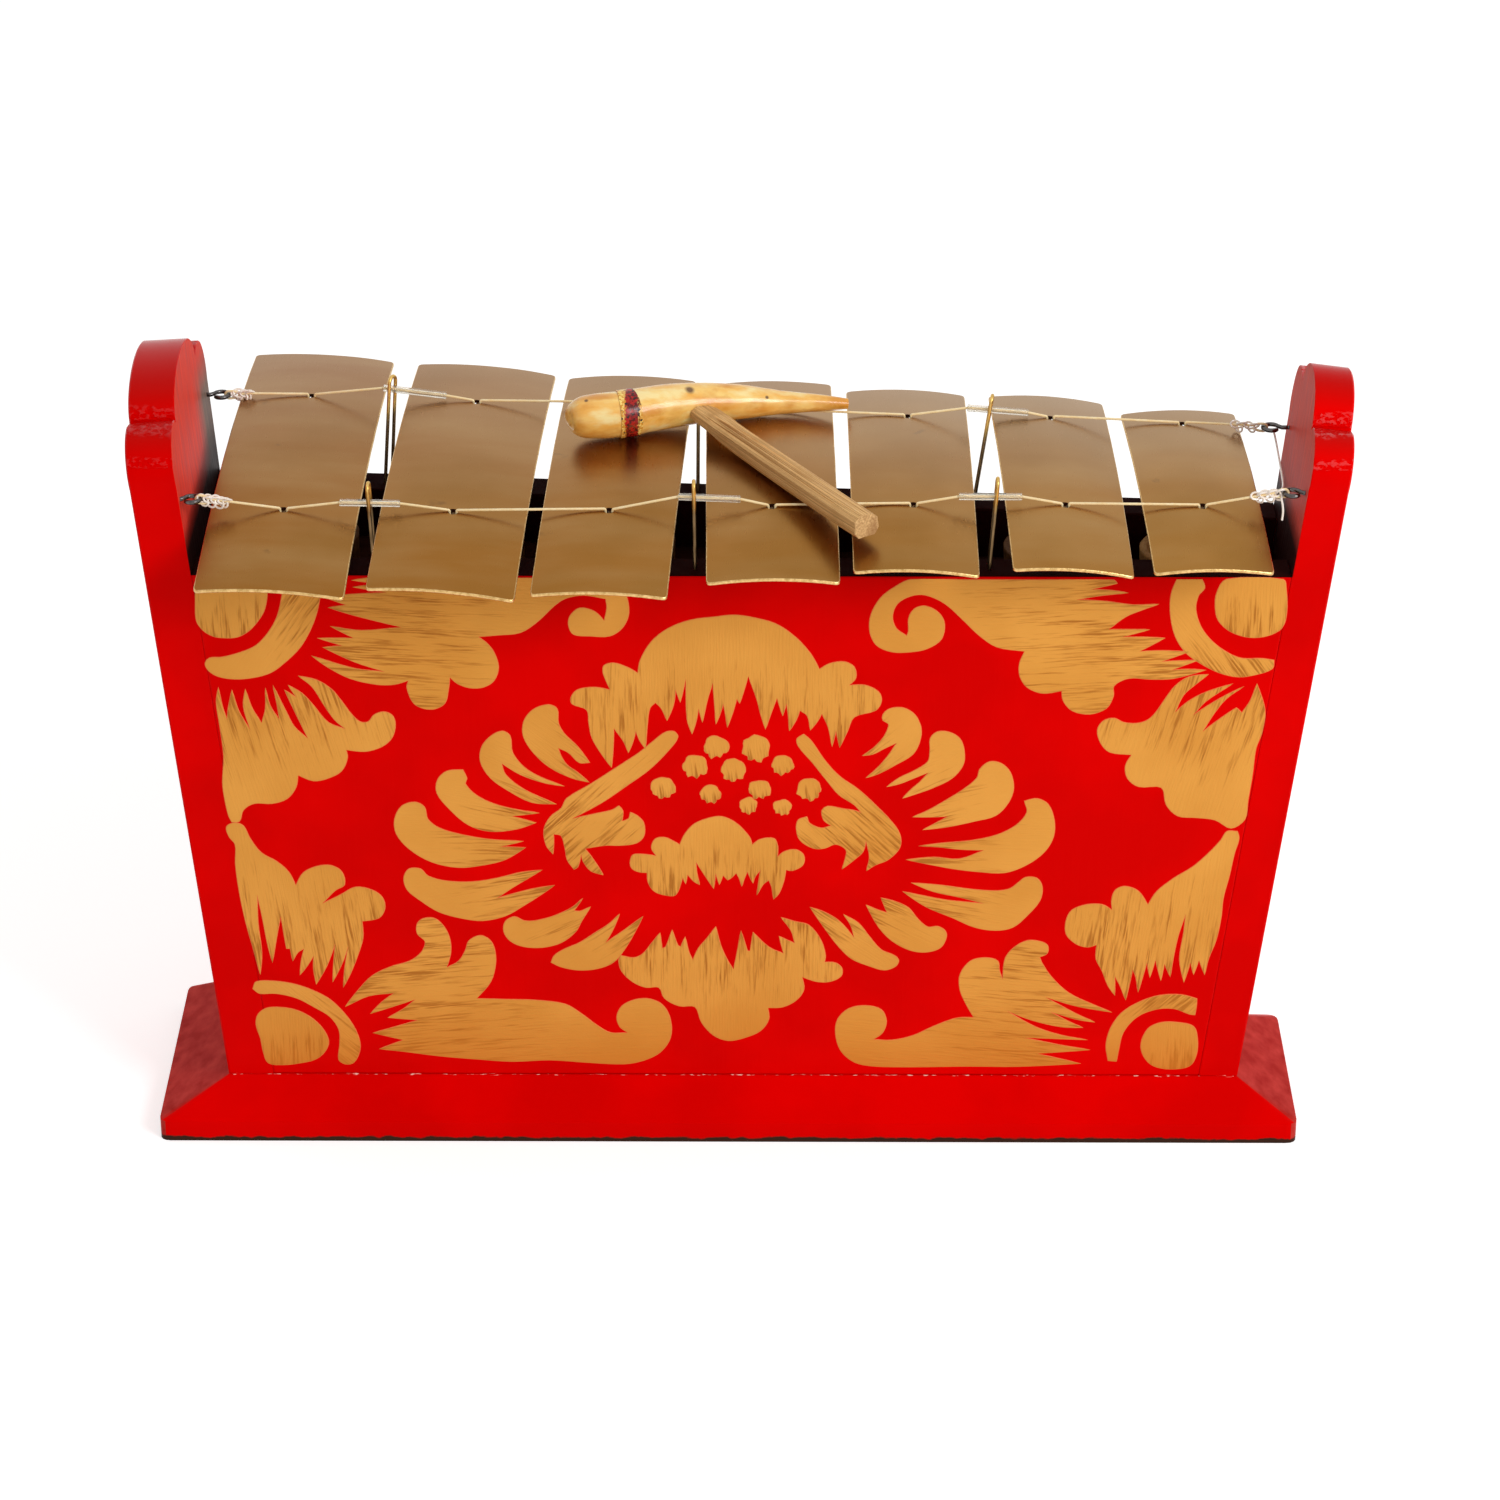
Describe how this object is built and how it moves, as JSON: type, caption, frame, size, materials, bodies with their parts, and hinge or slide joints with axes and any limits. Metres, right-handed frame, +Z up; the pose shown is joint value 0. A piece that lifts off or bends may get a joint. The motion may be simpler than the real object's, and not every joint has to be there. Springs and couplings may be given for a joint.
{
  "type": "metallophone",
  "caption": "Tabletop metallophone with arched bronze plates hung on two cords over bamboo resonator tubes in a red painted wooden case, with its wooden mallet lying on the plates.",
  "frame": {"origin": "middle of the bounding box on the ground plane, with the plinth's underside at Z = 0", "axes": "+X along the row of plates from the widest plate to the narrowest, +Y from the front panel to the back panel, +Z up"},
  "size_m": [0.6315, 0.2606, 0.4323],
  "materials": {
    "red_painted_wood": "gloss paint",
    "plain_wood": "sawn",
    "bamboo": "satin",
    "bronze_plate": "satin",
    "split_bamboo": "matte",
    "brass_wire": "drawn",
    "clear_sleeve": "translucent",
    "key_cord": "twisted",
    "plated_steel": "plated",
    "polished_hardwood": "polished",
    "band_ribbon": "woven"
  },
  "bodies": {
    "case": {"base_plinth": "red_painted_wood", "front_panel": "red_painted_wood", "back_panel": "red_painted_wood", "left_end_board": "red_painted_wood", "right_end_board": "red_painted_wood", "resonator_rack": "plain_wood", "resonator_tube_1": "bamboo", "resonator_tube_2": "bamboo", "resonator_tube_3": "bamboo", "resonator_tube_4": "bamboo", "resonator_tube_5": "bamboo", "resonator_tube_6": "bamboo", "resonator_tube_7": "bamboo", "front_post_1": "brass_wire", "front_post_2": "brass_wire", "front_post_3": "brass_wire", "back_post_1": "brass_wire", "back_post_2": "brass_wire", "back_post_3": "brass_wire", "front_sleeve_1": "clear_sleeve", "front_sleeve_2": "clear_sleeve", "front_sleeve_3": "clear_sleeve", "back_sleeve_1": "clear_sleeve", "back_sleeve_2": "clear_sleeve", "back_sleeve_3": "clear_sleeve", "back_left_eye": "plated_steel", "front_left_eye": "plated_steel", "back_right_eye": "plated_steel", "front_right_eye": "plated_steel", "front_cord": "key_cord", "back_cord": "key_cord"},
    "key_1": {"key_1": "bronze_plate", "front_peg_1": "split_bamboo", "back_peg_1": "split_bamboo"},
    "key_2": {"key_2": "bronze_plate", "front_peg_2": "split_bamboo", "back_peg_2": "split_bamboo"},
    "key_3": {"key_3": "bronze_plate", "front_peg_3": "split_bamboo", "back_peg_3": "split_bamboo"},
    "key_4": {"key_4": "bronze_plate", "front_peg_4": "split_bamboo", "back_peg_4": "split_bamboo"},
    "key_5": {"key_5": "bronze_plate", "front_peg_5": "split_bamboo", "back_peg_5": "split_bamboo"},
    "key_6": {"key_6": "bronze_plate", "front_peg_6": "split_bamboo", "back_peg_6": "split_bamboo"},
    "key_7": {"key_7": "bronze_plate", "front_peg_7": "split_bamboo", "back_peg_7": "split_bamboo"},
    "mallet": {"mallet_head": "polished_hardwood", "mallet_band": "band_ribbon", "mallet_handle": "split_bamboo"}
  },
  "joints": [
    {"name": "key_1_give", "type": "slide", "parent": "case", "child": "key_1", "axis": [0, 0, 1], "range_m": [-0.004, 0], "stiffness_N_per_m": 2000, "springref_m": 0.00207, "deforming": ["front_cord", "back_cord"]},
    {"name": "key_2_give", "type": "slide", "parent": "case", "child": "key_2", "axis": [0, 0, 1], "range_m": [-0.004, 0], "stiffness_N_per_m": 2000, "springref_m": 0.00187, "deforming": ["front_cord", "back_cord"]},
    {"name": "key_3_give", "type": "slide", "parent": "case", "child": "key_3", "axis": [0, 0, 1], "range_m": [-0.004, 0], "stiffness_N_per_m": 2000, "springref_m": 0.00163, "deforming": ["front_cord", "back_cord"]},
    {"name": "key_4_give", "type": "slide", "parent": "case", "child": "key_4", "axis": [0, 0, 1], "range_m": [-0.004, 0], "stiffness_N_per_m": 2000, "springref_m": 0.0015, "deforming": ["front_cord", "back_cord"]},
    {"name": "key_5_give", "type": "slide", "parent": "case", "child": "key_5", "axis": [0, 0, 1], "range_m": [-0.004, 0], "stiffness_N_per_m": 2000, "springref_m": 0.0013, "deforming": ["front_cord", "back_cord"]},
    {"name": "key_6_give", "type": "slide", "parent": "case", "child": "key_6", "axis": [0, 0, 1], "range_m": [-0.004, 0], "stiffness_N_per_m": 2000, "springref_m": 0.00118, "deforming": ["front_cord", "back_cord"]},
    {"name": "key_7_give", "type": "slide", "parent": "case", "child": "key_7", "axis": [0, 0, 1], "range_m": [-0.004, 0], "stiffness_N_per_m": 2000, "springref_m": 0.00102, "deforming": ["front_cord", "back_cord"]},
    {"name": "mallet_lift", "type": "slide", "parent": "case", "child": "mallet", "axis": [0, 0, 1], "range_m": [0, 0.25]}
  ]
}
